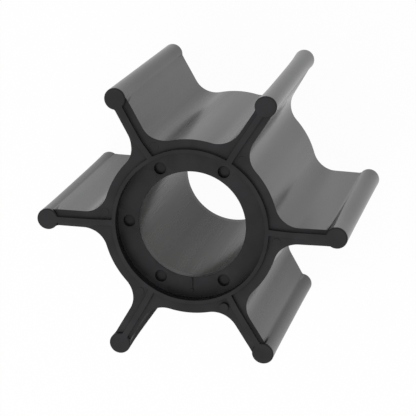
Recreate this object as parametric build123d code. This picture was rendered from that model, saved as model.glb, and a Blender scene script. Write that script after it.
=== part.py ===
from build123d import *

import os

# A six-vane flexible pump impeller, built as the two pieces that the real one is made of.
# The rubber body is one moulding: a hub, straight vanes with a fillet on each side of the root, and a round
# bead along each vane's tip. Only a ring round the recess, a narrow rib along each vane and the beads touch the
# pump's end plates, because the rest of each end face falls away from them. Both ends are alike.
# The hub bush is a rigid sleeve moulded into the rubber. The shaft turns it, and rubber skins cover its ends.
# Frame: +Z along the shaft, origin on the shaft's axis at the lower end, the first vane along +X.

# Driving dimensions, in millimetres and degrees
vane_count = 6
tip_diameter = 52.0  # over two opposite beads
body_length = 38.0  # from end plate to end plate
vane_thickness = 2.7
vane_offset = 0.25  # a vane's plate lies this far clockwise of its bead and rib, seen from above
root_fillet = 4.1  # between a vane and the hub
bead_diameter = 3.6  # sealing bead along a vane's tip
neck_fillet = 0.9  # between a vane and its bead
bead_rim_chamfer = 0.35  # broken edge at a bead's ends

bore_diameter = 18.0  # for the shaft, through the bush
bush_wall = 3.3
skin_thickness = 1.4  # rubber over each end of the bush, flush with its bore

recess_depth = 1.85  # flat-bottomed recess in each end, over the bush
recess_margin = 0.2  # from the bush's side out to the recess's side
ring_width = 0.65  # sealing ring round the recess
hub_ledge = 1.6  # from the ring out to the hub's side, between two vanes
rib_width = 1.0  # sealing rib along a vane's end
relief_at_ring = 0.6  # how far the end face lies below the ring
relief_at_bead = 1.1  # how far it lies below the beads, further out

pin_mark_diameter = 2.0  # left by the mould's pins in the recess's floor, at each vane but the first
pin_mark_depth = 0.7
gate_diameter = 1.5  # trimmed feed stub beside each vane's root
gate_gap = 1.35  # from the ring out to the stub's middle
gate_angle = 6.5  # clockwise from the vane
gate_height = 0.15
sprue_height = 0.5  # the one stub that was cut off longer
mark_length = 1.8  # timing mark in the upper recess, a raised line with a dot
mark_width = 0.25
mark_height = 0.2
mark_gap = 0.1  # from the line to its dot, and from the bore to the line

# Sizes that follow from the driving dimensions
bore_radius = bore_diameter / 2
bush_radius = bore_radius + bush_wall
bush_end = recess_depth + skin_thickness
bush_length = body_length - 2 * bush_end
recess_radius = bush_radius + recess_margin
ring_radius = recess_radius + ring_width
hub_radius = ring_radius + hub_ledge
bead_radius = bead_diameter / 2
bead_circle = tip_diameter / 2 - bead_radius
pin_circle = bore_radius + bush_wall / 2
gate_radius = ring_radius + gate_gap
vane_pitch = 360 / vane_count
relief_slope = (relief_at_bead - relief_at_ring) / (bead_circle - bead_radius - ring_radius)
near_zero = 1e-4


def upper_end(shape):
    """Place a shape that was drawn with the end plate at height 0 and the body below it."""
    return Pos(0, 0, body_length) * shape


def lower_end(shape):
    """The same shape at the lower end, turned over about the first vane."""
    return Rot(X=180) * shape


def at_vane(number, shape, turned=0.0):
    """The shape beside this vane, where it was drawn beside the first one."""
    return Rot(Z=vane_pitch * number + turned) * shape


def at_vanes(shape, turned=0.0):
    """One copy of the shape beside each vane."""
    return [at_vane(number, shape, turned) for number in range(vane_count)]


def relief_depth(radius):
    """How far the sloping end face lies below the ring at this distance from the axis."""
    return relief_at_ring + relief_slope * (radius - ring_radius)


def corners_at(profile, radius):
    """The profile's corners that lie this far from the axis."""
    return [v for v in profile.vertices() if abs(Vector(v).length - radius) < near_zero]


def bead_face():
    """A bead seen along the shaft."""
    return Pos(bead_circle, 0) * Circle(bead_radius)


def neck_distance(height):
    """How far from the axis a vane's flank meets its bead, for a flank this high over the bead's middle."""
    return (height**2 + (bead_circle - (bead_radius**2 - height**2) ** 0.5) ** 2) ** 0.5


def body_profile():
    """The body seen along the shaft: hub, vanes and beads with the fillets that join them."""
    vane = Pos(bead_circle / 2, -vane_offset) * Rectangle(bead_circle, vane_thickness)
    star = Circle(hub_radius) + at_vanes(vane)
    star = fillet(corners_at(star, hub_radius), root_fillet)
    beaded = star + at_vanes(bead_face())
    necks = []
    for side in (-vane_thickness / 2, vane_thickness / 2):
        necks += corners_at(beaded, neck_distance(side - vane_offset))
    return fillet(necks, neck_fillet)


def sealing_lands():
    """What keeps the full length outside the ring: the ribs along the vanes, and the beads."""
    rib = Pos(bead_circle / 2, 0) * Rectangle(bead_circle, rib_width)
    lands = Sketch() + at_vanes(rib) + at_vanes(bead_face())
    return extrude(lands, body_length, both=True)


def end_relief():
    """What is cut from an end outside the ring: a shallow cone with the lands left standing."""
    above = 1.0
    section = Polyline(
        (ring_radius, 0, above),
        (ring_radius, 0, -relief_depth(ring_radius)),
        (bead_circle, 0, -relief_depth(bead_circle)),
        (bead_circle, 0, above),
        close=True,
    )
    return revolve(make_face(section), Axis.Z) - sealing_lands()


def end_recess():
    """The recess in an end, and the round marks that the mould's pins left in its floor."""
    recess = extrude(Circle(recess_radius), -recess_depth)
    pin_mark = Pos(pin_circle, 0) * Circle(pin_mark_diameter / 2)
    marks = Sketch() + at_vanes(pin_mark)[1:]
    return recess + extrude(marks, -recess_depth - pin_mark_depth)


def gate_stub(height):
    """A trimmed feed stub that stands this high on the sloping face."""
    face = relief_depth(gate_radius)
    return Pos(gate_radius, 0, height - face) * extrude(Circle(gate_diameter / 2), -2 * height)


def timing_mark():
    """A raised line and dot on the upper recess's floor, midway between two vanes."""
    start = bore_radius + mark_gap
    line = Pos(start + mark_length / 2, 0) * Rectangle(mark_length, mark_width)
    dot = Pos(start + mark_length + mark_gap + mark_width, 0) * Circle(mark_width)
    mark = Pos(0, 0, -recess_depth) * extrude(Sketch() + [line, dot], mark_height, both=True)
    return at_vane(vane_count - 1.5, mark)


def is_bead_rim(edge):
    """Whether the edge is the end rim of a bead."""
    height = edge.center().Z
    at_end = min(abs(height), abs(height - body_length)) < near_zero
    return at_end and abs(edge.radius - bead_radius) < near_zero


def rubber_body():
    """The whole moulding, with the seat that it leaves for the bush."""
    body = extrude(body_profile(), body_length)
    for cut in (end_relief(), end_recess()):
        body -= upper_end(cut)
        body -= lower_end(cut)
    body -= extrude(Circle(bore_radius), body_length)
    body -= Pos(0, 0, bush_end) * extrude(Circle(bush_radius), bush_length)
    rims = [e for e in body.edges().filter_by(GeomType.CIRCLE) if is_bead_rim(e)]
    body = chamfer(rims, bead_rim_chamfer)
    for stub in at_vanes(gate_stub(gate_height), -gate_angle):
        body += upper_end(stub)
        body += lower_end(stub)
    body += upper_end(at_vane(vane_count - 1, gate_stub(sprue_height), -gate_angle))
    return body + upper_end(timing_mark())


def hub_bush():
    """The rigid sleeve that the shaft turns."""
    ring = Circle(bush_radius) - Circle(bore_radius)
    return Pos(0, 0, bush_end) * extrude(ring, bush_length)


def main():
    """Write one STEP file for each piece."""
    os.makedirs("parts", exist_ok=True)
    export_step(rubber_body(), "parts/rubber_body.step")
    export_step(hub_bush(), "parts/hub_bush.step")


main()
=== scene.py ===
import logging
import math
from dataclasses import dataclass, field
from enum import Enum
from typing import Iterable, Optional, Sequence

import bmesh
import bpy
from bmesh.types import BMEdge, BMFace, BMesh, BMVert
from bpy.types import ID, Material, Node, NodeSocket, NodeTree, Object
from mathutils import Matrix, Vector


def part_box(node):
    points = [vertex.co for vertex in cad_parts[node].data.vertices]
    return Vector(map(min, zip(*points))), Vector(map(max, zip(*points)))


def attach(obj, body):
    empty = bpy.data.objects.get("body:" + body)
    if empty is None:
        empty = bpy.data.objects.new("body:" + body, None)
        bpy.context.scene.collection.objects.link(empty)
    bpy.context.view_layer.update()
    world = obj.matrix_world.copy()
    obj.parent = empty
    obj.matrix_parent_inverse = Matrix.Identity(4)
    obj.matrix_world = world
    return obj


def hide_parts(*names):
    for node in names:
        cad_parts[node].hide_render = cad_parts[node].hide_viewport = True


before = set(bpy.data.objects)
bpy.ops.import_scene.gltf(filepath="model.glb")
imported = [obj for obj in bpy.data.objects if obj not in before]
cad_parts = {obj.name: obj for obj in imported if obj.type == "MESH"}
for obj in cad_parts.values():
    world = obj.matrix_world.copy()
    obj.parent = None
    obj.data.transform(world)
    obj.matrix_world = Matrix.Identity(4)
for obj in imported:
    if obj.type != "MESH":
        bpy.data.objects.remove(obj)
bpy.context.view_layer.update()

LOG = logging.getLogger("impeller")
MM = 0.001  # a millimetre, in metres
UP = Vector((0.0, 0.0, 1.0))  # along the shaft
WELD = 1e-4  # vertices nearer than this become one, in millimetres
LEVEL = 1e-4  # heights or radii that differ by less are the same, in millimetres
SHARP = math.radians(35.0)  # an edge that turns further than this gets rounded
HARD = math.radians(50.0)  # an edge that turns further than this is shaded hard
END_SLOPE = 0.3  # an end's face has a normal whose upright part is larger than this
LARGE_FACES_LEAD = 90  # how much large faces lead the shading; 50 would be evenly
NOISE_LOW = 0.32  # nearly all of a noise texture lies between these two
NOISE_HIGH = 0.68
MIX_A, MIX_B, MIX_RESULT = 6, 7, 2  # the sockets of a mix of colours


class Side(Enum):
    """The two sides of a vane, named by the way the angle about the shaft grows."""

    AHEAD = 1
    BEHIND = -1


class Land(Enum):
    """Whether a face of the plan touches the end plate, and its number while the body is drawn."""

    LOWER = 0
    TOUCHING = 1


class Surface(Enum):
    """Which wall of the mould a face was pressed against, and its material's place on the mesh."""

    CAVITY = 0
    END_PLATE = 1


def linear(colour: str) -> tuple[float, float, float, float]:
    """Turn an sRGB colour into the linear one that a shader takes.

    Args:
        colour: Six hex digits after a hash sign.

    Returns:
        Red, green and blue in linear light, and an alpha of one.
    """
    parts = [int(colour[start:start + 2], 16) / 255.0 for start in (1, 3, 5)]
    red, green, blue = (
        part / 12.92 if part <= 0.04045 else ((part + 0.055) / 1.055) ** 2.4 for part in parts
    )
    return red, green, blue, 1.0


def grey(level: float) -> tuple[float, float, float, float]:
    """A neutral colour of this linear level, with an alpha of one."""
    return level, level, level, 1.0


def add_node(tree: NodeTree, kind: str, inputs: Optional[dict] = None, **settings: str) -> Node:
    """Add a node to a tree, with what goes into its sockets and its settings.

    Args:
        tree: The material's or the world's node tree.
        kind: The node's type.
        inputs: For each socket, by name or number, a plain value or the output that feeds it.
        settings: The node's own properties.

    Returns:
        The new node.
    """
    node = tree.nodes.new(kind)
    for name, value in settings.items():
        setattr(node, name, value)
    for name, value in (inputs or {}).items():
        if isinstance(value, NodeSocket):
            tree.links.new(value, node.inputs[name])
        else:
            node.inputs[name].default_value = value
    return node


def fresh_tree(owner: ID) -> NodeTree:
    """Give a material or a world an empty node tree.

    Args:
        owner: The material or the world.

    Returns:
        Its tree, with nothing in it.
    """
    owner.use_nodes = True
    owner.node_tree.nodes.clear()
    return owner.node_tree


def set_ramp(node: Node, stops: Sequence[tuple[float, tuple]]) -> None:
    """Set the stops of a colour ramp.

    Args:
        node: The ramp's node.
        stops: Two or more pairs of a place from 0 to 1 and a colour.
    """
    ramp = node.color_ramp
    while len(ramp.elements) < len(stops):
        ramp.elements.new(1.0)
    for element, (place, colour) in zip(ramp.elements, stops):
        element.position = place
        element.color = colour


@dataclass(frozen=True)
class Moulded:
    """A moulded surface, with patches of a second colour and streaks of gloss along the shaft.

    Attributes:
        name: The material's name.
        colour: Its own colour.
        second: The patches' colour.
        second_from: The level of the patches' noise where that colour begins to show.
        second_full: The level where it shows in full.
        patch: How wide a patch is, in millimetres.
        patch_detail: How many finer layers the patches' noise has.
        patch_grain: How strong each layer is beside the one before.
        smoothest: Roughness in the glossiest streak.
        roughest: Roughness in the dullest streak.
        streak_width: How wide a streak is, in millimetres.
        streak_length: How long it is along the shaft, in millimetres.
        streak_grain: How ragged its edges are, from 0 to 1.
        ior: Its index of refraction, which sets how much it mirrors.
    """

    name: str
    colour: str
    second: str
    second_from: float
    second_full: float
    patch: float
    patch_detail: float
    patch_grain: float
    smoothest: float
    roughest: float
    streak_width: float
    streak_length: float
    streak_grain: float
    ior: float

    def make(self) -> Material:
        """Build the material.

        Returns:
            The material, ready for a mesh.
        """
        material = bpy.data.materials.new(self.name)
        tree = fresh_tree(material)
        place = add_node(tree, "ShaderNodeTexCoord").outputs["Object"]
        across = 1.0 / (self.streak_width * MM)
        along = 1.0 / (self.streak_length * MM)
        drawn = add_node(
            tree, "ShaderNodeMapping", {"Vector": place, "Scale": (across, across, along)}
        ).outputs["Vector"]
        streak = add_node(
            tree,
            "ShaderNodeTexNoise",
            {"Vector": drawn, "Scale": 1.0, "Detail": 2.0, "Roughness": self.streak_grain},
        ).outputs["Fac"]
        gloss = add_node(
            tree,
            "ShaderNodeMapRange",
            {
                "Value": streak,
                "From Min": NOISE_LOW,
                "From Max": NOISE_HIGH,
                "To Min": self.smoothest,
                "To Max": self.roughest,
            },
        )
        patch = add_node(
            tree,
            "ShaderNodeTexNoise",
            {
                "Vector": place,
                "Scale": 1.0 / (self.patch * MM),
                "Detail": self.patch_detail,
                "Roughness": self.patch_grain,
            },
        ).outputs["Fac"]
        tint = add_node(tree, "ShaderNodeValToRGB", {"Fac": patch})
        stops = ((self.second_from, linear(self.colour)), (self.second_full, linear(self.second)))
        set_ramp(tint, stops)
        shader = add_node(
            tree,
            "ShaderNodeBsdfPrincipled",
            {
                "Base Color": tint.outputs["Color"],
                "Roughness": gloss.outputs["Result"],
                "IOR": self.ior,
                "Normal": self.add_relief(tree, place, streak, patch),
            },
        )
        add_node(tree, "ShaderNodeOutputMaterial", {"Surface": shader.outputs["BSDF"]})
        return material

    def add_relief(
        self, tree: NodeTree, place: NodeSocket, streak: NodeSocket, patch: NodeSocket
    ) -> NodeSocket:
        """Add what stands out from the surface, which each material has in its own way.

        Args:
            tree: The material's tree.
            place: Where a point lies on the object.
            streak: How far into a streak it lies.
            patch: How far into a patch it lies.

        Returns:
            The surface's direction there.
        """
        raise NotImplementedError


@dataclass(frozen=True)
class MouldedRubber(Moulded):
    """Black chloroprene rubber, compression moulded, as one wall of its mould left it.

    To the eye it is nearly black. It shows as much by the pale room that it mirrors, softly and
    most at a flat angle, as by its own colour. The mould was polished along the shaft, which
    leaves faint streaks that way. The patches are traces of wax that came to the surface.

    Attributes:
        wave_height: How far the streaks stand above each other, in millimetres.
        grain: How wide the mould's texture is, in millimetres, coarser than real so that it shows.
        grain_height: How high that texture stands, in millimetres.
    """

    colour: str = "#161618"
    second: str = "#1e1e21"
    second_from: float = 0.36
    second_full: float = 0.66
    patch: float = 5.0
    patch_detail: float = 3.0
    patch_grain: float = 0.55
    smoothest: float = 0.2
    roughest: float = 0.3
    streak_width: float = 4.0
    streak_length: float = 90.0
    streak_grain: float = 0.45
    ior: float = 1.52
    wave_height: float = 0.01
    grain: float = 0.22
    grain_height: float = 0.002

    def add_relief(
        self, tree: NodeTree, place: NodeSocket, streak: NodeSocket, patch: NodeSocket
    ) -> NodeSocket:
        """Add the streaks' waves, and the mould's fine texture over them."""
        pits = add_node(
            tree,
            "ShaderNodeTexNoise",
            {"Vector": place, "Scale": 1.0 / (self.grain * MM), "Detail": 1.0, "Roughness": 0.5},
        )
        waves = add_node(
            tree,
            "ShaderNodeBump",
            {"Strength": 1.0, "Distance": self.wave_height * MM, "Height": streak},
        )
        return add_node(
            tree,
            "ShaderNodeBump",
            {
                "Strength": 1.0,
                "Distance": self.grain_height * MM,
                "Height": pits.outputs["Fac"],
                "Normal": waves.outputs["Normal"],
            },
        ).outputs["Normal"]


@dataclass(frozen=True)
class MouldedSleeve(Moulded):
    """Glass-filled phenolic resin, moulded on a polished core pin, as the bush's bore shows it.

    To the eye it is a dark olive grey, smooth and even, with a soft sheen that runs along the
    bore. The streaks are the pin's draw marks, and the patches are flecks where short fibres lie
    close under the surface, drawn coarser than real so that they show.

    Attributes:
        fleck_height: How far the flecks stand, in millimetres.
    """

    colour: str = "#403f3b"
    second: str = "#474642"
    second_from: float = 0.4
    second_full: float = 0.7
    patch: float = 0.35
    patch_detail: float = 2.0
    patch_grain: float = 0.6
    smoothest: float = 0.25
    roughest: float = 0.3
    streak_width: float = 2.2
    streak_length: float = 45.0
    streak_grain: float = 0.5
    ior: float = 1.4
    fleck_height: float = 0.0004

    def add_relief(
        self, tree: NodeTree, place: NodeSocket, streak: NodeSocket, patch: NodeSocket
    ) -> NodeSocket:
        """Let the flecks stand out."""
        return add_node(
            tree,
            "ShaderNodeBump",
            {"Strength": 1.0, "Distance": self.fleck_height * MM, "Height": patch},
        ).outputs["Normal"]


@dataclass
class Pen:
    """Draws one open chain of edges, by extruding and spinning its last vertex.

    Attributes:
        mesh: The mesh that the chain is drawn in.
        chain: The vertices so far, in order.
    """

    mesh: BMesh
    chain: list[BMVert] = field(default_factory=list)

    def start(self, point: Vector) -> "Pen":
        """Put down the first vertex.

        Args:
            point: Where it lies.

        Returns:
            The pen itself.
        """
        self.chain = [self.mesh.verts.new(point)]
        return self

    def line(self, point: Vector, steps: int = 1) -> "Pen":
        """Draw a straight line in equal steps.

        Args:
            point: Where it ends.
            steps: How many edges it has.

        Returns:
            The pen itself.
        """
        begin = self.chain[-1].co.copy()
        for step in range(1, steps + 1):
            made = bmesh.ops.extrude_vert_indiv(self.mesh, verts=[self.chain[-1]])["verts"][0]
            made.co = begin.lerp(point, step / steps)
            self.chain.append(made)
        return self

    def arc(self, centre: Vector, angle: float, steps: int) -> "Pen":
        """Draw an arc in equal steps.

        Args:
            centre: The arc's centre.
            angle: How far it turns, in radians, counter-clockwise seen from above.
            steps: How many edges it has.

        Returns:
            The pen itself.
        """
        last = [self.chain[-1]]
        bmesh.ops.spin(self.mesh, geom=last, cent=centre, axis=UP, angle=angle, steps=steps)
        for _ in range(steps):
            here = self.chain[-1]
            ahead = [edge.other_vert(here) for edge in here.link_edges]
            self.chain.append(next(vert for vert in ahead if vert not in self.chain[-2:]))
        return self


def chain_edges(chain: Sequence[BMVert], closed: bool = False) -> list[BMEdge]:
    """Find the edges between neighbours in a chain of vertices.

    Args:
        chain: The vertices, in order.
        closed: Whether the last one is joined to the first.

    Returns:
        The edges, in order.
    """
    following = list(chain[1:]) + ([chain[0]] if closed else [])
    edges = []
    for here, there in zip(chain, following):
        shared = [edge for edge in here.link_edges if edge.other_vert(here) is there]
        edges.append(shared[0])
    return edges


def flat_radius(point: Vector) -> float:
    """How far a point lies from the shaft's axis."""
    return math.hypot(point.x, point.y)


def weld(mesh: BMesh) -> None:
    """Merge vertices that lie on each other and turn every face outwards."""
    bmesh.ops.remove_doubles(mesh, verts=mesh.verts[:], dist=WELD)
    bmesh.ops.recalc_face_normals(mesh, faces=mesh.faces[:])


def new_object(name: str, mesh: BMesh, materials: Iterable[Material]) -> Object:
    """Turn a finished bmesh into a smooth-shaded object at the origin.

    Args:
        name: The object's name.
        mesh: The bmesh, which is freed.
        materials: The materials, in the order of the faces' numbers.

    Returns:
        The object, linked to the scene.
    """
    mesh.normal_update()
    for face in mesh.faces:
        face.smooth = True
    for edge in mesh.edges:
        edge.smooth = len(edge.link_faces) == 2 and edge.calc_face_angle() < HARD
    data = bpy.data.meshes.new(name)
    mesh.to_mesh(data)
    mesh.free()
    for material in materials:
        data.materials.append(material)
    made = bpy.data.objects.new(name, data)
    bpy.context.scene.collection.objects.link(made)
    return made


def shade_evenly(piece: Object) -> None:
    """Keep flat faces flat to the eye where rounded edges meet them.

    Args:
        piece: The object, whose hard edges are marked.
    """
    modifier = piece.modifiers.new("even_shading", "WEIGHTED_NORMAL")
    modifier.weight = LARGE_FACES_LEAD
    modifier.keep_sharp = True


@dataclass(frozen=True)
class VaneSet:
    """How far a vane has come out of true, as the photo shows it, in millimetres.

    Attributes:
        at_root: How far its root's upper end stands ahead of its place.
        at_bead: How far its bead's upper end does.
        below_root: How far its root's lower end does.
        below_bead: How far its bead's lower end does.
    """

    at_root: float
    at_bead: float
    below_root: float
    below_bead: float


@dataclass
class RubberBody:
    """The moulding: a hub with a recess in each end, six vanes and a bead along each vane's tip.

    Attributes:
        node: The CAD node that it stands for.
        tip_diameter: Over two opposite beads.
        length: From end plate to end plate.
        bore_radius: The shaft's, and of the rubber skin over the bush.
        vane_count: How many vanes there are.
        vane_thickness: Of a vane's plate.
        vane_offset: How far the plate lies behind its bead and rib.
        root_fillet: Between a vane and the hub.
        bead_radius: Of the bead along a vane's tip.
        neck_fillet: Between a vane and its bead.
        waist: How much narrower a bead is between its ends, as a share of its width.
        waist_power: How evenly narrow it stays: the more, the nearer to its ends it widens again.
        waist_rows: How many rows of vertices half its length has.
        bush_wall: Of the bush that the rubber is moulded round.
        skin: How thick the rubber over the bush's end is.
        recess_depth: Of the recess in each end.
        recess_margin: From the bush's side out to the recess's.
        ring_width: Of the sealing ring round the recess.
        hub_ledge: From the ring out to the hub's side.
        rib_width: Of the sealing rib along a vane's end.
        foot_depth: How far the end face lies below the end plate along the ring and the ribs.
        edge_depth: How far it lies below at the hub's side, where it has risen a little.
        tip_depth: How far it lies below at a vane's side, near the bead.
        pin_mark_radius: Of the round marks that the mould's pins left in the recess.
        pin_mark_depth: Of these marks.
        pin_mark_groove: How wide the groove is that runs round a mark's floor.
        pin_mark_swell: How far the floor stands above the groove.
        gate_radius: Of the trimmed feed stub beside each vane's root.
        gate_gap: From the ring out to the stub's middle.
        gate_angle: How far the stub lies behind its vane, in degrees.
        gate_height: How far a stub stands above the end face.
        gate_seat: How far it reaches into the body, so that its foot has no edge.
        sprue_height: How far the one stub does that was cut off longer.
        mark_length: Of the timing mark, a raised line and a dot in the upper recess.
        mark_width: Of the line.
        mark_height: How far it stands above the recess's floor.
        mark_gap: From the bore to the line, and from the line to its dot.
        rim_rounding: Round a bead's end.
        edge_rounding: Of every other edge.
        neck_steps: How many edges the fillet at a bead's neck has.
        flank_steps: How many a vane's side has.
        root_steps: How many a root fillet has.
        foot_steps: How many of these face the rib's foot, where the others face the ring.
        hub_steps: How many the hub's side has, from a root fillet to half way between two vanes.
        bead_steps: How many a bead's side has, from its tip to its neck.
        bore_steps: How many go round the bore.
        pin_mark_steps: How many go round a mark of a pin.
        gate_steps: How many go round a feed stub.
        dot_steps: How many go round the timing mark's dot.
        rim_steps: How many faces the rounding of a bead's end has across.
        edge_steps: How many the rounding of every other edge has.
        vane_sets: How each vane stands, from the first one on.
    """

    node: str = "rubber_body"
    tip_diameter: float = 52.0
    length: float = 38.0
    bore_radius: float = 9.0
    vane_count: int = 6
    vane_thickness: float = 2.75
    vane_offset: float = 0.25
    root_fillet: float = 4.1
    bead_radius: float = 1.8
    neck_fillet: float = 0.9
    waist: float = 0.13
    waist_power: int = 4
    waist_rows: int = 4
    bush_wall: float = 3.3
    skin: float = 1.4
    recess_depth: float = 1.85
    recess_margin: float = 0.2
    ring_width: float = 0.65
    hub_ledge: float = 1.6
    rib_width: float = 1.0
    foot_depth: float = 0.45
    edge_depth: float = 0.35
    tip_depth: float = 0.6
    pin_mark_radius: float = 1.0
    pin_mark_depth: float = 0.7
    pin_mark_groove: float = 0.4
    pin_mark_swell: float = 0.18
    gate_radius: float = 0.75
    gate_gap: float = 1.35
    gate_angle: float = 6.5
    gate_height: float = 0.07
    gate_seat: float = 0.2
    sprue_height: float = 0.44
    mark_length: float = 1.8
    mark_width: float = 0.25
    mark_height: float = 0.2
    mark_gap: float = 0.1
    rim_rounding: float = 0.25
    edge_rounding: float = 0.06
    neck_steps: int = 5
    flank_steps: int = 8
    root_steps: int = 12
    foot_steps: int = 5
    hub_steps: int = 6
    bead_steps: int = 18
    bore_steps: int = 144
    pin_mark_steps: int = 28
    gate_steps: int = 24
    dot_steps: int = 20
    rim_steps: int = 5
    edge_steps: int = 2
    vane_sets: tuple[VaneSet, ...] = (
        VaneSet(-0.2, -0.2, -0.1, -0.3),
        VaneSet(0.0, -0.5, 0.1, 0.05),
        VaneSet(0.45, 0.3, 0.1, -0.1),
        VaneSet(0.12, 0.1, 0.1, -0.3),
        VaneSet(0.15, 0.05, -0.3, -0.3),
        VaneSet(-0.1, 0.25, 0.15, 0.15),
    )

    @property
    def bush_radius(self) -> float:
        """The bush's outer radius, where the rubber grips it."""
        return self.bore_radius + self.bush_wall

    @property
    def recess_radius(self) -> float:
        """The recess's side."""
        return self.bush_radius + self.recess_margin

    @property
    def ring_radius(self) -> float:
        """The sealing ring's outer side."""
        return self.recess_radius + self.ring_width

    @property
    def hub_radius(self) -> float:
        """The hub's side between two vanes."""
        return self.ring_radius + self.hub_ledge

    @property
    def bead_circle(self) -> float:
        """How far a bead's middle lies from the axis."""
        return self.tip_diameter / 2 - self.bead_radius

    @property
    def middle(self) -> float:
        """Half way between the two ends."""
        return self.length / 2

    @property
    def pitch(self) -> float:
        """The angle from one vane to the next."""
        return math.tau / self.vane_count

    def edge_relief(self, radius: float) -> float:
        """How far the end face's outer edge lies below the end plate, this far from the axis."""
        out = (radius - self.hub_radius) / (self.bead_circle - self.bead_radius - self.hub_radius)
        return self.edge_depth + (self.tip_depth - self.edge_depth) * min(1.0, out)

    def draw_side(self, mesh: BMesh, side: Side) -> None:
        """Draw one side of the first vane seen along the shaft, and half of the space beside it.

        The lands that touch the end plate are one face. The lower face beside them is a strip.

        Args:
            mesh: The mesh that the faces are added to, at the height of the body's middle.
            side: Which side of the vane.
        """
        height = self.middle
        flank = self.vane_thickness / 2 - self.vane_offset * side.value
        half_rib = self.rib_width / 2
        bead = Vector((self.bead_circle, 0.0, height))
        axis = Vector((0.0, 0.0, height))
        reach = self.bead_radius + self.neck_fillet
        neck_y = flank + self.neck_fillet
        neck = Vector((self.bead_circle - math.sqrt(reach**2 - neck_y**2), neck_y, height))
        span = self.hub_radius + self.root_fillet
        root_y = flank + self.root_fillet
        root = Vector((math.sqrt(span**2 - root_y**2), root_y, height))
        root_angle = math.atan2(root.y, root.x)
        neck_angle = math.atan2(neck.y, neck.x - bead.x)
        rib_turn = math.pi - math.asin(half_rib / self.bead_radius)
        ring_turn = math.asin(half_rib / self.ring_radius)
        rib_foot = Vector((self.ring_radius * math.cos(ring_turn), half_rib, height))
        rib_bend = Vector((root.x, half_rib, height))
        half_pitch = self.pitch / 2

        neck_from_bead = (neck - bead).normalized()
        outline = Pen(mesh).start(bead + self.bead_radius * neck_from_bead)
        outline.arc(neck, math.pi / 2 - neck_angle, self.neck_steps)
        outline.line(Vector((root.x, flank, height)), self.flank_steps)
        outline.arc(root, root_angle - math.pi / 2, self.root_steps)
        outline.arc(axis, half_pitch - root_angle, self.hub_steps)

        land = Pen(mesh).start(bead + Vector((self.bead_radius, 0.0, 0.0)))
        land.arc(bead, neck_angle, self.bead_steps)
        shared = len(land.chain) - 1
        ring_steps = self.root_steps - self.foot_steps
        land.arc(bead, rib_turn - neck_angle, self.neck_steps)
        land.line(rib_bend, self.flank_steps)
        land.line(rib_foot, self.foot_steps)
        land.arc(axis, root_angle - ring_turn, ring_steps)
        land.arc(axis, half_pitch - root_angle, self.hub_steps)
        beside = land.chain[shared:]
        ring_end = land.chain[-1].co
        land.line(axis + (ring_end - axis) * (self.recess_radius / self.ring_radius))
        land.arc(axis, -half_pitch, ring_steps + self.hub_steps)
        bmesh.ops.contextual_create(mesh, geom=[land.chain[0], land.chain[-1]])
        around = chain_edges(land.chain, closed=True)
        touching = bmesh.ops.contextual_create(mesh, geom=around)["faces"]
        both = chain_edges(outline.chain) + chain_edges(beside)
        lower = bmesh.ops.bridge_loops(mesh, edges=both)["faces"]
        for face in touching:
            face.material_index = Land.TOUCHING.value
        for face in lower:
            face.material_index = Land.LOWER.value

    def draw_plan(self, mesh: BMesh) -> None:
        """Draw the whole body seen along the shaft, outside the recess.

        Args:
            mesh: The empty mesh that the faces are added to.
        """
        self.draw_side(mesh, Side.BEHIND)
        bmesh.ops.scale(mesh, vec=(1.0, -1.0, 1.0), verts=mesh.verts[:])
        bmesh.ops.reverse_faces(mesh, faces=mesh.faces[:])
        self.draw_side(mesh, Side.AHEAD)
        weld(mesh)
        bmesh.ops.spin(
            mesh,
            geom=mesh.verts[:] + mesh.edges[:] + mesh.faces[:],
            axis=UP,
            angle=math.tau - self.pitch,
            steps=self.vane_count - 1,
            use_duplicate=True,
        )
        weld(mesh)
        down = [face for face in mesh.faces if face.normal.z < 0]
        bmesh.ops.reverse_faces(mesh, faces=down)

    def raise_faces(self, mesh: BMesh, faces: list[BMFace], height: float) -> list[BMFace]:
        """Extrude level faces up to a height above the body's middle.

        Args:
            mesh: The mesh.
            faces: The faces, which are used up.
            height: Where they end, in millimetres above the lower end.

        Returns:
            The raised faces.
        """
        made = bmesh.ops.extrude_face_region(mesh, geom=faces)["geom"]
        for vert in made:
            if isinstance(vert, BMVert):
                vert.co.z = height
        bmesh.ops.delete(mesh, geom=faces, context="FACES")
        return [face for face in made if isinstance(face, BMFace)]

    def raise_end(self, mesh: BMesh) -> None:
        """Raise the plan to the upper end, with the lands proud of the sloping face beside them.

        Args:
            mesh: The mesh, with the plan in it.
        """
        ledge = self.length - self.foot_depth
        raised = self.raise_faces(mesh, mesh.faces[:], ledge)
        inside = [
            face
            for face in mesh.faces
            if all(flat_radius(vert.co) < self.recess_radius + LEVEL for vert in face.verts)
        ]
        bmesh.ops.delete(mesh, geom=inside, context="FACES")
        lands = [face for face in raised if face.material_index == Land.TOUCHING.value]
        self.raise_faces(mesh, lands, self.length)
        for vert in mesh.verts:
            on_edge = abs(vert.co.z - ledge) < LEVEL and any(
                abs(edge.other_vert(vert).co.z - self.middle) < LEVEL for edge in vert.link_edges
            )
            if on_edge and flat_radius(vert.co) > self.ring_radius - LEVEL:
                vert.co.z = self.length - self.edge_relief(flat_radius(vert.co))

    def circle(self, mesh: BMesh, centre: Vector, radius: float, steps: int) -> list[BMEdge]:
        """Draw a circle of edges in a level plane.

        Args:
            mesh: The mesh.
            centre: Its centre.
            radius: Its radius.
            steps: How many edges it has.

        Returns:
            Its edges.
        """
        made = bmesh.ops.create_circle(
            mesh, segments=steps, radius=radius, matrix=Matrix.Translation(centre)
        )["verts"]
        return list({edge for vert in made for edge in vert.link_edges})

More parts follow.
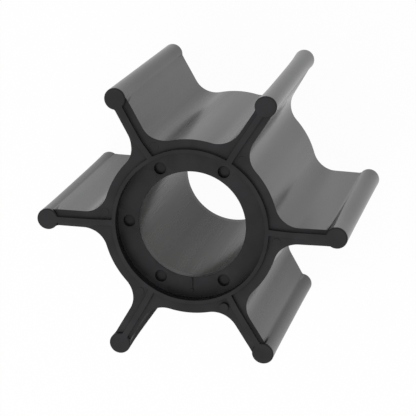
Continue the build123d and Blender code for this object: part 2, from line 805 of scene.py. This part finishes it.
    def lower_edges(self, mesh: BMesh, edges: list[BMEdge], height: float) -> list[BMEdge]:
        """Extrude level edges down to a height.

        Args:
            mesh: The mesh.
            edges: The edges.
            height: Where they end.

        Returns:
            The new edges at that height.
        """
        made = bmesh.ops.extrude_edge_only(mesh, edges=edges)["geom"]
        for vert in made:
            if isinstance(vert, BMVert):
                vert.co.z = height
        return [
            edge
            for edge in made
            if isinstance(edge, BMEdge)
            and all(abs(v.co.z - height) < LEVEL for v in edge.verts)
        ]

    def sink_recess(self, mesh: BMesh) -> None:
        """Sink the recess and the pins' marks in its floor, and open the skin for the shaft.

        Args:
            mesh: The mesh, with the raised end in it.
        """
        floor = self.length - self.recess_depth
        under = floor - self.skin
        rim = [
            edge
            for edge in mesh.edges
            if edge.is_boundary
            and all(flat_radius(v.co) < self.recess_radius + LEVEL for v in edge.verts)
        ]
        side = self.lower_edges(mesh, rim, floor)
        centre = Vector((0.0, 0.0, floor))
        opening = self.circle(mesh, centre, self.bore_radius, self.bore_steps)
        marks = []
        for number in range(1, self.vane_count):
            turned = Matrix.Rotation(number * self.pitch, 4, "Z")
            middle = turned @ Vector((self.bore_radius + self.bush_wall / 2, 0.0, floor))
            marks += self.circle(mesh, middle, self.pin_mark_radius, self.pin_mark_steps)
        bmesh.ops.triangle_fill(mesh, edges=side + opening + marks, use_beauty=True)
        sunk = self.lower_edges(mesh, marks, floor - self.pin_mark_depth)
        floors = bmesh.ops.edgeloop_fill(mesh, edges=sunk)["faces"]
        bmesh.ops.inset_individual(mesh, faces=floors, thickness=self.pin_mark_groove, depth=0)
        for vert in {vert for face in floors for vert in face.verts}:
            vert.co.z += self.pin_mark_swell
        below = self.lower_edges(mesh, opening, under)
        seat = self.circle(mesh, Vector((0.0, 0.0, under)), self.bush_radius, self.bore_steps)
        bmesh.ops.triangle_fill(mesh, edges=below + seat, use_beauty=True)
        self.lower_edges(mesh, seat, self.middle)

    def add_lower_end(self, mesh: BMesh) -> None:
        """Close the moulding with a mirrored copy below its middle.

        Args:
            mesh: The mesh, with the upper half in it.
        """
        half = mesh.verts[:] + mesh.edges[:] + mesh.faces[:]
        copy = bmesh.ops.duplicate(mesh, geom=half)["geom"]
        bmesh.ops.scale(
            mesh,
            vec=(1.0, 1.0, -1.0),
            space=Matrix.Translation((0.0, 0.0, -self.middle)),
            verts=[vert for vert in copy if isinstance(vert, BMVert)],
        )
        weld(mesh)

    def add_stub(self, mesh: BMesh, side: Side, number: int, height: float) -> None:
        """Stand a trimmed feed stub on the end face beside a vane's root.

        Args:
            mesh: The mesh.
            side: Where the stub is: behind the vane at the upper end, and ahead of it at the lower.
            number: The vane's number.
            height: How far the stub stands above the end face.
        """
        turn = number * self.pitch + side.value * math.radians(self.gate_angle)
        top = self.foot_depth - height
        root = self.foot_depth + self.gate_seat
        depth = top + (root - top) / 2
        level = self.length - depth if side is Side.BEHIND else depth
        out = Vector((self.ring_radius + self.gate_gap, 0.0, level))
        middle = Matrix.Rotation(turn, 4, "Z") @ out
        bmesh.ops.create_cone(
            mesh,
            cap_ends=True,
            segments=self.gate_steps,
            radius1=self.gate_radius,
            radius2=self.gate_radius,
            depth=root - top,
            matrix=Matrix.Translation(middle),
        )

    def add_timing_mark(self, mesh: BMesh) -> None:
        """Stand the raised line and its dot in the upper recess, midway between the last two vanes.

        Args:
            mesh: The mesh.
        """
        midway = (self.vane_count - 1.5) * self.pitch
        turned = Matrix.Rotation(midway, 4, "Z")
        floor = self.length - self.recess_depth
        start = self.bore_radius + self.mark_gap
        line = Vector((start + self.mark_length / 2, 0.0, floor))
        bmesh.ops.create_cube(
            mesh,
            size=1.0,
            matrix=turned
            @ Matrix.Translation(line)
            @ Matrix.Diagonal((self.mark_length, self.mark_width, 2 * self.mark_height, 1.0)),
        )
        dot = Vector((start + self.mark_length + self.mark_gap + self.mark_width, 0.0, floor))
        bmesh.ops.create_cone(
            mesh,
            cap_ends=True,
            segments=self.dot_steps,
            radius1=self.mark_width,
            radius2=self.mark_width,
            depth=2 * self.mark_height,
            matrix=turned @ Matrix.Translation(dot),
        )

    def add_marks(self, mesh: BMesh) -> None:
        """Add what the mould left standing: the trimmed feed stubs and the timing mark.

        Args:
            mesh: The mesh.
        """
        for number in range(self.vane_count):
            last = number == self.vane_count - 1
            height = self.sprue_height if last else self.gate_height
            self.add_stub(mesh, Side.BEHIND, number, height)
            self.add_stub(mesh, Side.AHEAD, number, self.gate_height)
        self.add_timing_mark(mesh)

    def round_edges(self, mesh: BMesh) -> None:
        """Round the beads' rims, and then every other sharp edge a little.

        Args:
            mesh: The mesh.
        """
        mesh.normal_update()
        rims = [edge for edge in mesh.edges if self.is_sharp(edge) and self.is_bead_rim(edge)]
        LOG.info("bead rims: %d edges", len(rims))
        self.bevel(mesh, rims, self.rim_rounding, self.rim_steps)
        mesh.normal_update()
        others = [
            edge
            for edge in mesh.edges
            if self.is_sharp(edge) and not self.is_pinched(edge) and not self.is_buried(edge)
        ]
        LOG.info("other edges: %d", len(others))
        self.bevel(mesh, others, self.edge_rounding, self.edge_steps)

    def nearest_vane(self, point: Vector) -> int:
        """The number of the vane that a point is nearest to, from minus half of them to half."""
        return round(math.atan2(point.y, point.x) / self.pitch)

    def is_on_bead(self, point: Vector) -> bool:
        """Whether a point lies on the side of one of the beads."""
        turned = Matrix.Rotation(self.nearest_vane(point) * self.pitch, 3, "Z")
        middle = turned @ Vector((self.bead_circle, 0.0, 0.0))
        away = math.hypot(point.x - middle.x, point.y - middle.y)
        return abs(away - self.bead_radius) < LEVEL

    def is_bead_rim(self, edge: BMEdge) -> bool:
        """Whether an edge belongs to the rim of a bead's end."""
        return all(
            min(abs(v.co.z), abs(v.co.z - self.length)) < LEVEL and self.is_on_bead(v.co)
            for v in edge.verts
        )

    def is_sharp(self, edge: BMEdge) -> bool:
        """Whether the two faces at an edge meet at more than a small angle."""
        return len(edge.link_faces) == 2 and edge.calc_face_angle() > SHARP

    def is_pinched(self, edge: BMEdge) -> bool:
        """Whether an edge lies where the lower face narrows to nothing beside a bead."""
        return all(
            flat_radius(v.co) > self.bead_circle - self.bead_radius
            and min(v.co.z, self.length - v.co.z) > self.edge_depth
            for v in edge.verts
        )

    def is_buried(self, edge: BMEdge) -> bool:
        """Whether an edge lies under the skin, against the bush."""
        under = self.recess_depth + self.skin
        return all(abs(min(v.co.z, self.length - v.co.z) - under) < LEVEL for v in edge.verts)

    def bevel(self, mesh: BMesh, edges: list[BMEdge], width: float, segments: int) -> None:
        """Round edges.

        Args:
            mesh: The mesh.
            edges: The edges.
            width: How far the rounding reaches on each face.
            segments: How many faces it has across.
        """
        bmesh.ops.bevel(
            mesh,
            geom=edges,
            offset=width,
            offset_type="OFFSET",
            segments=segments,
            profile=0.5,
            affect="EDGES",
            clamp_overlap=False,
            material=-1,
            loop_slide=True,
        )

    def narrow_beads(self, mesh: BMesh) -> None:
        """Make each bead a little narrower between its ends, where the rubber shrank.

        Args:
            mesh: The mesh.
        """
        tall = self.middle / 2
        upright = [
            edge
            for edge in mesh.edges
            if all(flat_radius(v.co) > self.ring_radius for v in edge.verts)
            and abs(edge.verts[0].co.z - edge.verts[1].co.z) > tall
        ]
        bmesh.ops.subdivide_edges(mesh, edges=upright, cuts=self.waist_rows, use_grid_fill=True)
        start = self.bead_circle - self.bead_radius - self.neck_fillet
        for vert in mesh.verts:
            turn = self.nearest_vane(vert.co) * self.pitch
            flat = Matrix.Rotation(-turn, 3, "Z") @ vert.co
            reach = min(1.0, max(0.0, (flat.x - start) / (self.bead_circle - start)))
            from_middle = abs(flat.z - self.middle) / self.middle
            flat.y *= 1.0 - self.waist * reach * (1.0 - from_middle**self.waist_power)
            vert.co = Matrix.Rotation(turn, 3, "Z") @ flat

    def set_vanes(self, mesh: BMesh) -> None:
        """Push each vane as far out of true as the photo shows it, and leave the hub as it is.

        Args:
            mesh: The mesh.
        """
        foot = 2 * self.hub_ledge
        for vert in mesh.verts:
            radius = flat_radius(vert.co)
            if radius < self.ring_radius:
                continue
            number = self.nearest_vane(vert.co) % self.vane_count
            out = (radius - self.hub_radius) / (self.bead_circle - self.hub_radius)
            vane = self.vane_sets[number]
            above = vane.at_root + (vane.at_bead - vane.at_root) * out
            below = vane.below_root + (vane.below_bead - vane.below_root) * out
            push = below + (above - below) * vert.co.z / self.length
            begun = min(1.0, max(0.0, (radius - self.ring_radius) / foot))
            turn = number * self.pitch
            ahead = Vector((-math.sin(turn), math.cos(turn), 0.0))
            lean = abs(math.remainder(math.atan2(vert.co.y, vert.co.x) - turn, math.tau))
            near = max(0.0, 1.0 - lean / (self.pitch / 2))
            vert.co += ahead * push * begun * near

    def build(self) -> BMesh:
        """Build the whole moulding.

        Returns:
            The closed mesh, in millimetres.
        """
        mesh = bmesh.new()
        self.draw_plan(mesh)
        self.raise_end(mesh)
        self.sink_recess(mesh)
        self.add_lower_end(mesh)
        self.add_marks(mesh)
        self.round_edges(mesh)
        self.narrow_beads(mesh)
        self.set_vanes(mesh)
        return mesh

    def make(self, finishes: Sequence[MouldedRubber]) -> Object:
        """Build the piece, dress it and put it in the frame.

        Args:
            finishes: The rubber's finish on its sides and on its ends, in that order.

        Returns:
            The piece.
        """
        mesh = self.build()
        for face in mesh.faces:
            level = abs(face.normal.z) > END_SLOPE
            face.material_index = (Surface.END_PLATE if level else Surface.CAVITY).value
        bmesh.ops.scale(mesh, vec=(MM, MM, MM), verts=mesh.verts[:])
        piece = new_object("rubber_moulding", mesh, [finish.make() for finish in finishes])
        shade_evenly(piece)
        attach(piece, "root")
        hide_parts(self.node)
        LOG.info("%s: %d faces", piece.name, len(piece.data.polygons))
        return piece


@dataclass
class HubBush:
    """The rigid sleeve that the rubber is moulded round.

    Attributes:
        node: The CAD node that it stands for.
        steps: How many faces go round it, as many as round the rubber's bore.
    """

    node: str = "hub_bush"
    steps: int = RubberBody.bore_steps

    def make(self, finish: MouldedSleeve) -> Object:
        """Turn the sleeve, dress it and put it in the frame.

        Args:
            finish: What it is made of.

        Returns:
            The piece.
        """
        low, high = (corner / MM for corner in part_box(self.node))
        bore = RubberBody.bore_radius
        mesh = bmesh.new()
        pen = Pen(mesh).start(Vector((bore, 0.0, low.z)))
        pen.line(Vector((high.x, 0.0, low.z)))
        pen.line(Vector((high.x, 0.0, high.z)))
        pen.line(Vector((bore, 0.0, high.z)))
        bmesh.ops.contextual_create(mesh, geom=[pen.chain[0], pen.chain[-1]])
        bmesh.ops.spin(
            mesh,
            geom=chain_edges(pen.chain, closed=True),
            axis=UP,
            angle=math.tau,
            steps=self.steps,
            use_merge=True,
        )
        weld(mesh)
        bmesh.ops.scale(mesh, vec=(MM, MM, MM), verts=mesh.verts[:])
        piece = new_object("bush_sleeve", mesh, [finish.make()])
        shade_evenly(piece)
        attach(piece, "root")
        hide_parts(self.node)
        LOG.info("%s: %d faces", piece.name, len(piece.data.polygons))
        return piece


@dataclass
class Studio:
    """The pale floor, the soft light and the camera.

    Attributes:
        floor_width: In metres.
        floor_drop: How far it lies under the lower end, in metres, so that no two faces coincide.
        camera_place: In millimetres.
        camera_sight: The way the camera looks.
        camera_up: The camera's upward direction.
        lens: In millimetres.
        sensor_width: In millimetres.
        sight_range: The nearest and the farthest thing that the camera sees, in metres.
        key_level: The key lamp's share of the light on a level surface, where all of it is 1.
        sky_level: The sky's share.
        key_side: The compass angle that the key lamp stands at, in degrees from +X.
        key_rise: Its height above the horizon, in degrees.
        key_distance: From the object, in metres.
        key_size: In metres.
        floor_colour: The floor's paint.
        camera_share: How much of its look to the camera is plain white, where the rest is paint.
        mirror_share: How much of the plain white a glossy surface mirrors.
        shade_place: The middle of a patch of painted shade on the floor, in millimetres. Only
            glossy surfaces see it, and it stands in for the fifth vane's shadow.
        shade_core: How far from there the patch is darkest, in millimetres.
        shade_edge: How far from there its soft edge ends, in millimetres.
        shade_end: How far from there the floor is at its brightest, in millimetres.
        shade_floor: How bright the floor looks in a mirror in the patch.
        shade_beside: How bright it looks just outside the patch.
    """

    floor_width: float = 6.0
    floor_drop: float = 0.00005
    camera_place: tuple[float, float, float] = (65.098, 83.387, 307.700)
    camera_sight: tuple[float, float, float] = (-0.2151842, -0.27717008, -0.93641471)
    camera_up: tuple[float, float, float] = (-0.060842, 0.9608201, -0.27041261)
    lens: float = 153.96
    sensor_width: float = 36.0
    sight_range: tuple[float, float] = (0.01, 50.0)
    key_level: float = 0.35
    sky_level: float = 0.65
    key_side: float = 232.0
    key_rise: float = 45.0
    key_distance: float = 1.5
    key_size: float = 1.6
    floor_colour: str = "#f4f4f4"
    camera_share: float = 0.97
    mirror_share: float = 0.78
    shade_place: tuple[float, float, float] = (-18.0, -36.0, 0.0)
    shade_core: float = 24.0
    shade_edge: float = 28.0
    shade_end: float = 58.0
    shade_floor: float = 0.06
    shade_beside: float = 0.72

    def make_floor(self) -> Object:
        """Lay the floor, which looks white to the eye and keeps a faint shadow. To glossy surfaces
        it shows painted shade: darkest round shade_place, brightening out to shade_end.

        Returns:
            The floor.
        """
        mesh = bmesh.new()
        bmesh.ops.create_grid(mesh, x_segments=1, y_segments=1, size=self.floor_width / 2)
        bmesh.ops.translate(mesh, vec=(0.0, 0.0, -self.floor_drop), verts=mesh.verts[:])
        material = bpy.data.materials.new("matt_white_paint_rolled")
        tree = fresh_tree(material)
        rays = add_node(tree, "ShaderNodeLightPath").outputs
        place = add_node(tree, "ShaderNodeTexCoord").outputs["Object"]
        # Painted shade: what glossy surfaces see of the floor is darkened in a patch to the lower
        # left of the object, standing in for its shadow there.
        away = add_node(
            tree,
            "ShaderNodeVectorMath",
            {0: place, 1: Vector(self.shade_place) * MM},
            operation="DISTANCE",
        )
        reach = add_node(
            tree,
            "ShaderNodeMapRange",
            {"Value": away.outputs["Value"], "From Min": 0.0, "From Max": self.shade_end * MM},
        )
        painted_shade_ramp = add_node(tree, "ShaderNodeValToRGB", {"Fac": reach.outputs["Result"]})
        set_ramp(
            painted_shade_ramp,
            (
                (self.shade_core / self.shade_end, grey(self.shade_floor)),
                (self.shade_edge / self.shade_end, grey(self.shade_beside)),
                (1.0, grey(1.0)),
            ),
        )
        bright = painted_shade_ramp.outputs["Color"]
        glossy = rays["Is Glossy Ray"]
        shaded = add_node(
            tree, "ShaderNodeMath", {0: glossy, 1: bright}, operation="MULTIPLY"
        ).outputs[0]
        # Painted shade: the paint seen by glossy rays is darkened towards black in the same patch.
        dark = add_node(
            tree, "ShaderNodeMath", {0: glossy, 1: shaded}, operation="SUBTRACT"
        ).outputs[0]
        tint = add_node(
            tree,
            "ShaderNodeMix",
            {"Factor": dark, MIX_A: linear(self.floor_colour), MIX_B: grey(0.0)},
            data_type="RGBA",
        )
        paint = add_node(tree, "ShaderNodeBsdfDiffuse", {"Color": tint.outputs[MIX_RESULT]})
        white = add_node(tree, "ShaderNodeEmission", {"Color": grey(1.0), "Strength": 1.0})
        share = rays["Is Transmission Ray"]
        for ray, part in (
            (shaded, self.mirror_share),
            (rays["Is Camera Ray"], self.camera_share),
        ):
            seen = add_node(
                tree, "ShaderNodeMath", {0: ray, 1: part}, operation="MULTIPLY"
            ).outputs[0]
            share = add_node(
                tree, "ShaderNodeMath", {0: seen, 1: share}, operation="MAXIMUM"
            ).outputs[0]
        mixed = add_node(
            tree,
            "ShaderNodeMixShader",
            {0: share, 1: paint.outputs["BSDF"], 2: white.outputs["Emission"]},
        )
        add_node(tree, "ShaderNodeOutputMaterial", {"Surface": mixed.outputs["Shader"]})
        floor = new_object("floor", mesh, [material])
        return floor

    def make_sky(self) -> None:
        """Light the room evenly, and show it white to the camera."""
        world = bpy.data.worlds.new("studio")
        bpy.context.scene.world = world
        tree = fresh_tree(world)
        plain_white = grey(1.0)
        rays = add_node(tree, "ShaderNodeLightPath").outputs
        plain = add_node(
            tree, "ShaderNodeBackground", {"Color": plain_white, "Strength": self.sky_level}
        )
        white = add_node(tree, "ShaderNodeBackground", {"Color": plain_white, "Strength": 1.0})
        mixed = add_node(
            tree,
            "ShaderNodeMixShader",
            {
                0: rays["Is Camera Ray"],
                1: plain.outputs["Background"],
                2: white.outputs["Background"],
            },
        )
        add_node(tree, "ShaderNodeOutputWorld", {"Surface": mixed.outputs["Shader"]})

    def make_key(self) -> Object:
        """Hang the large soft lamp and aim it at the object.

        Returns:
            The lamp, whose power lights a level surface with its share at this distance.
        """
        side = math.radians(self.key_side)
        rise = math.radians(self.key_rise)
        away = Vector(
            (math.cos(side) * math.cos(rise), math.sin(side) * math.cos(rise), math.sin(rise))
        )
        light = bpy.data.lights.new("key_lamp", "AREA")
        light.shape = "SQUARE"
        light.size = self.key_size
        light.energy = self.key_level * math.pi**2 * self.key_distance**2 / math.sin(rise)
        lamp = bpy.data.objects.new("key_lamp", light)
        lamp.location = away * self.key_distance
        lamp.rotation_euler = away.to_track_quat("Z", "Y").to_euler()
        bpy.context.scene.collection.objects.link(lamp)
        return lamp

    def make_camera(self) -> Object:
        """Stand the camera where the photo was taken from.

        Returns:
            The camera.
        """
        sight = Vector(self.camera_sight).normalized()
        up = Vector(self.camera_up).normalized()
        right = sight.cross(up)
        data = bpy.data.cameras.new("camera")
        data.sensor_width = self.sensor_width
        data.lens = self.lens
        data.clip_start, data.clip_end = self.sight_range
        camera = bpy.data.objects.new("camera", data)
        turned = Matrix((right, up, -sight)).transposed().to_4x4()
        camera.matrix_world = Matrix.Translation(Vector(self.camera_place) * MM) @ turned
        bpy.context.scene.collection.objects.link(camera)
        bpy.context.scene.camera = camera
        return camera

    def make(self) -> None:
        """Set the whole studio."""
        self.make_floor()
        self.make_sky()
        self.make_key()
        self.make_camera()
        bpy.context.scene.view_settings.view_transform = "Standard"


def main() -> None:
    """Build the impeller's pieces in order, dress them and set the scene round them."""
    logging.basicConfig(level=logging.INFO, format="%(name)s: %(message)s")
    sides = MouldedRubber("chloroprene_rubber_moulded_polished")
    ends = MouldedRubber(
        "chloroprene_rubber_moulded_satin", smoothest=0.6, roughest=0.7, wave_height=0.0, ior=1.4
    )
    RubberBody().make((sides, ends))
    HubBush().make(MouldedSleeve("phenolic_resin_moulded"))
    Studio().make()


if __name__ == "__main__":
    main()
